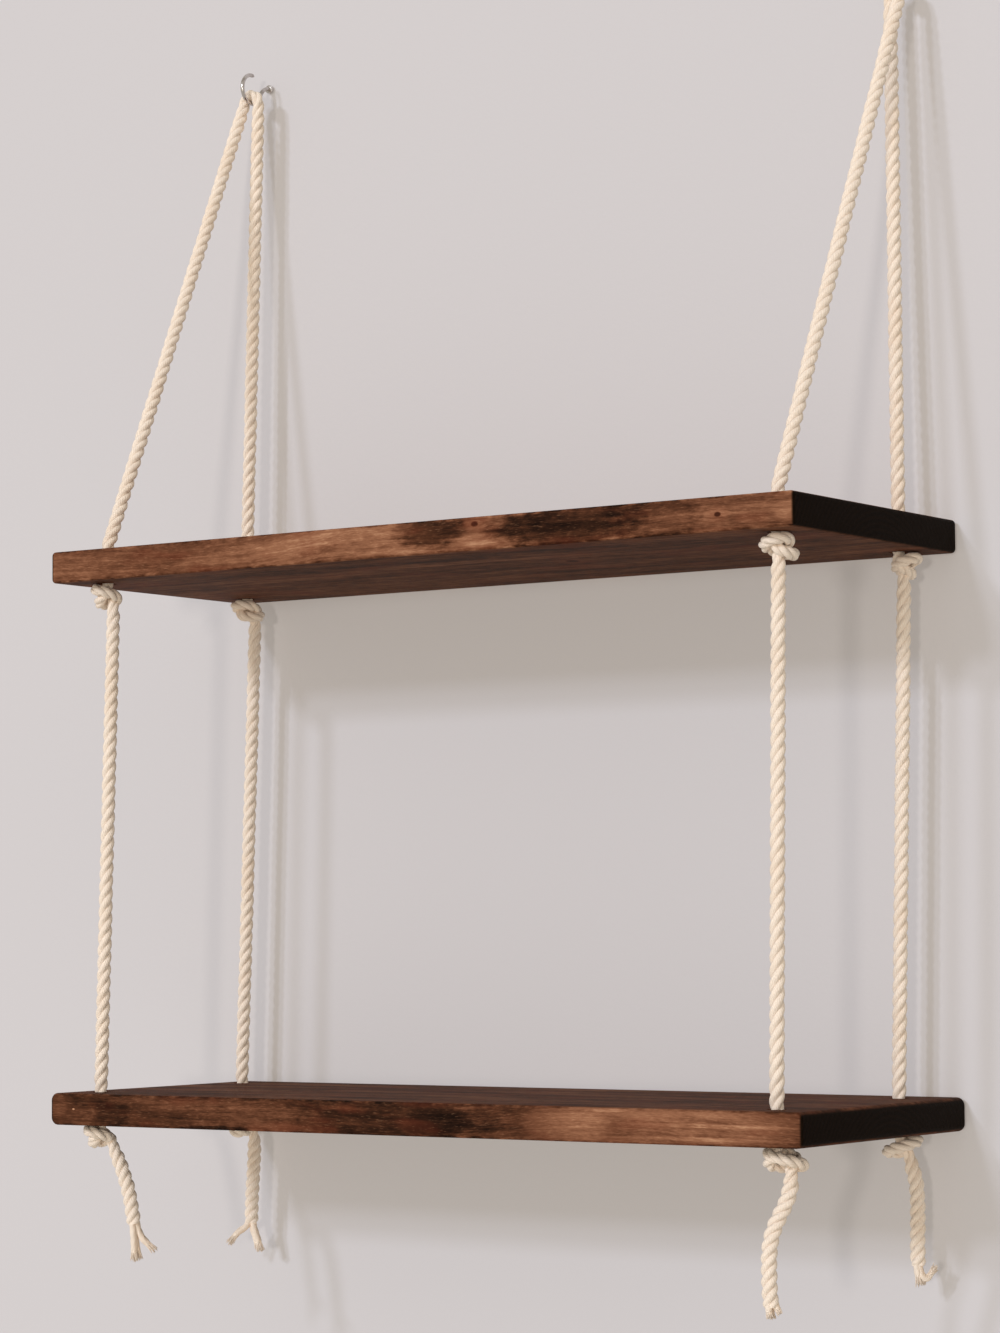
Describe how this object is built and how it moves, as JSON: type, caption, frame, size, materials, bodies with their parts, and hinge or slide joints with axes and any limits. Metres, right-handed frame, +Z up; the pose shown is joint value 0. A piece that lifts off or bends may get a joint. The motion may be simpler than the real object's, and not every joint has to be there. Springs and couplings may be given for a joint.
{
  "type": "hanging rope shelf",
  "caption": "Two-tier wooden shelf hung on knotted ropes from screw hooks, with holes near the board corners and free rope tails below.",
  "frame": {"origin": "on the wall's face, midway between the two screw hooks, at the height of their screws", "axes": "+X along the boards to the viewer's right, +Y into the wall, +Z up; the front faces -Y"},
  "size_m": [0.518, 0.203, 0.7571],
  "materials": {
    "wood_upper": "dark walnut stain, satin, straight grain with streaks and small knots",
    "wood_lower": "dark walnut stain, satin, darker and more streaked than the upper board",
    "rope": "natural cotton rope of three twisted strands, matt",
    "hook_steel": "bright plated steel wire"
  },
  "bodies": {
    "wall_hooks": {"left_hook": "hook_steel", "right_hook": "hook_steel"},
    "bights": {"left_bight": "rope", "right_bight": "rope"},
    "left_hangers": {"left_front_hanger": "rope", "left_back_hanger": "rope"},
    "right_hangers": {"right_front_hanger": "rope", "right_back_hanger": "rope"},
    "upper_shelf": {"upper_board": "wood_upper", "left_front_upper_knot": "rope", "left_back_upper_knot": "rope", "right_front_upper_knot": "rope", "right_back_upper_knot": "rope"},
    "left_drops": {"left_front_drop_rope": "rope", "left_back_drop_rope": "rope"},
    "right_drops": {"right_front_drop_rope": "rope", "right_back_drop_rope": "rope"},
    "lower_shelf": {"lower_board": "wood_lower", "left_front_lower_knot": "rope", "left_back_lower_knot": "rope", "right_front_lower_knot": "rope", "right_back_lower_knot": "rope"},
    "left_front_tail": {"left_front_tail": "rope"},
    "left_back_tail": {"left_back_tail": "rope"},
    "right_front_tail": {"right_front_tail": "rope"},
    "right_back_tail": {"right_back_tail": "rope"}
  },
  "joints": [
    {"name": "pull_forward", "type": "hinge", "parent": "wall_hooks", "child": "bights", "pos_m": [0, -0.02, -0.0036], "axis": [-1, 0, 0], "range_deg": [0, 15]},
    {"name": "sway_upper", "type": "hinge", "parent": "bights", "child": "left_hangers", "pos_m": [-0.235, -0.02, -0.0199], "axis": [0, 1, 0], "range_deg": [-5, 5]},
    {"name": "right_hangers_sway", "type": "hinge", "parent": "bights", "child": "right_hangers", "pos_m": [0.235, -0.02, -0.0199], "axis": [0, 1, 0], "range_deg": [-5, 5]},
    {"name": "upper_shelf_stays_level", "type": "hinge", "parent": "left_hangers", "child": "upper_shelf", "pos_m": [-0.235, -0.094, -0.313], "axis": [0, 1, 0], "range_deg": [-5, 5]},
    {"name": "sway_lower", "type": "hinge", "parent": "upper_shelf", "child": "left_drops", "pos_m": [-0.235, -0.094, -0.35507], "axis": [0, 1, 0], "range_deg": [-6, 6]},
    {"name": "right_drops_sway", "type": "hinge", "parent": "upper_shelf", "child": "right_drops", "pos_m": [0.235, -0.094, -0.35507], "axis": [0, 1, 0], "range_deg": [-6, 6]},
    {"name": "lower_shelf_stays_level", "type": "hinge", "parent": "left_drops", "child": "lower_shelf", "pos_m": [-0.24, -0.094, -0.639], "axis": [0, 1, 0], "range_deg": [-6, 6]},
    {"name": "left_front_tail_swing", "type": "hinge", "parent": "lower_shelf", "child": "left_front_tail", "pos_m": [-0.24, -0.162, -0.68107], "axis": [0, 1, 0], "range_deg": [-25, 25], "stiffness_Nm_per_rad": 0.02},
    {"name": "left_back_tail_swing", "type": "hinge", "parent": "lower_shelf", "child": "left_back_tail", "pos_m": [-0.24, -0.026, -0.68107], "axis": [0, 1, 0], "range_deg": [-25, 25], "stiffness_Nm_per_rad": 0.02},
    {"name": "right_front_tail_swing", "type": "hinge", "parent": "lower_shelf", "child": "right_front_tail", "pos_m": [0.23, -0.162, -0.68107], "axis": [0, 1, 0], "range_deg": [-25, 25], "stiffness_Nm_per_rad": 0.02},
    {"name": "right_back_tail_swing", "type": "hinge", "parent": "lower_shelf", "child": "right_back_tail", "pos_m": [0.23, -0.026, -0.68107], "axis": [0, 1, 0], "range_deg": [-25, 25], "stiffness_Nm_per_rad": 0.02}
  ],
  "couplings": [
    {"joint": "right_hangers_sway", "follows": "sway_upper", "ratio": 1},
    {"joint": "upper_shelf_stays_level", "follows": "sway_upper", "ratio": -1},
    {"joint": "right_drops_sway", "follows": "sway_lower", "ratio": 1},
    {"joint": "lower_shelf_stays_level", "follows": "sway_lower", "ratio": -1}
  ]
}
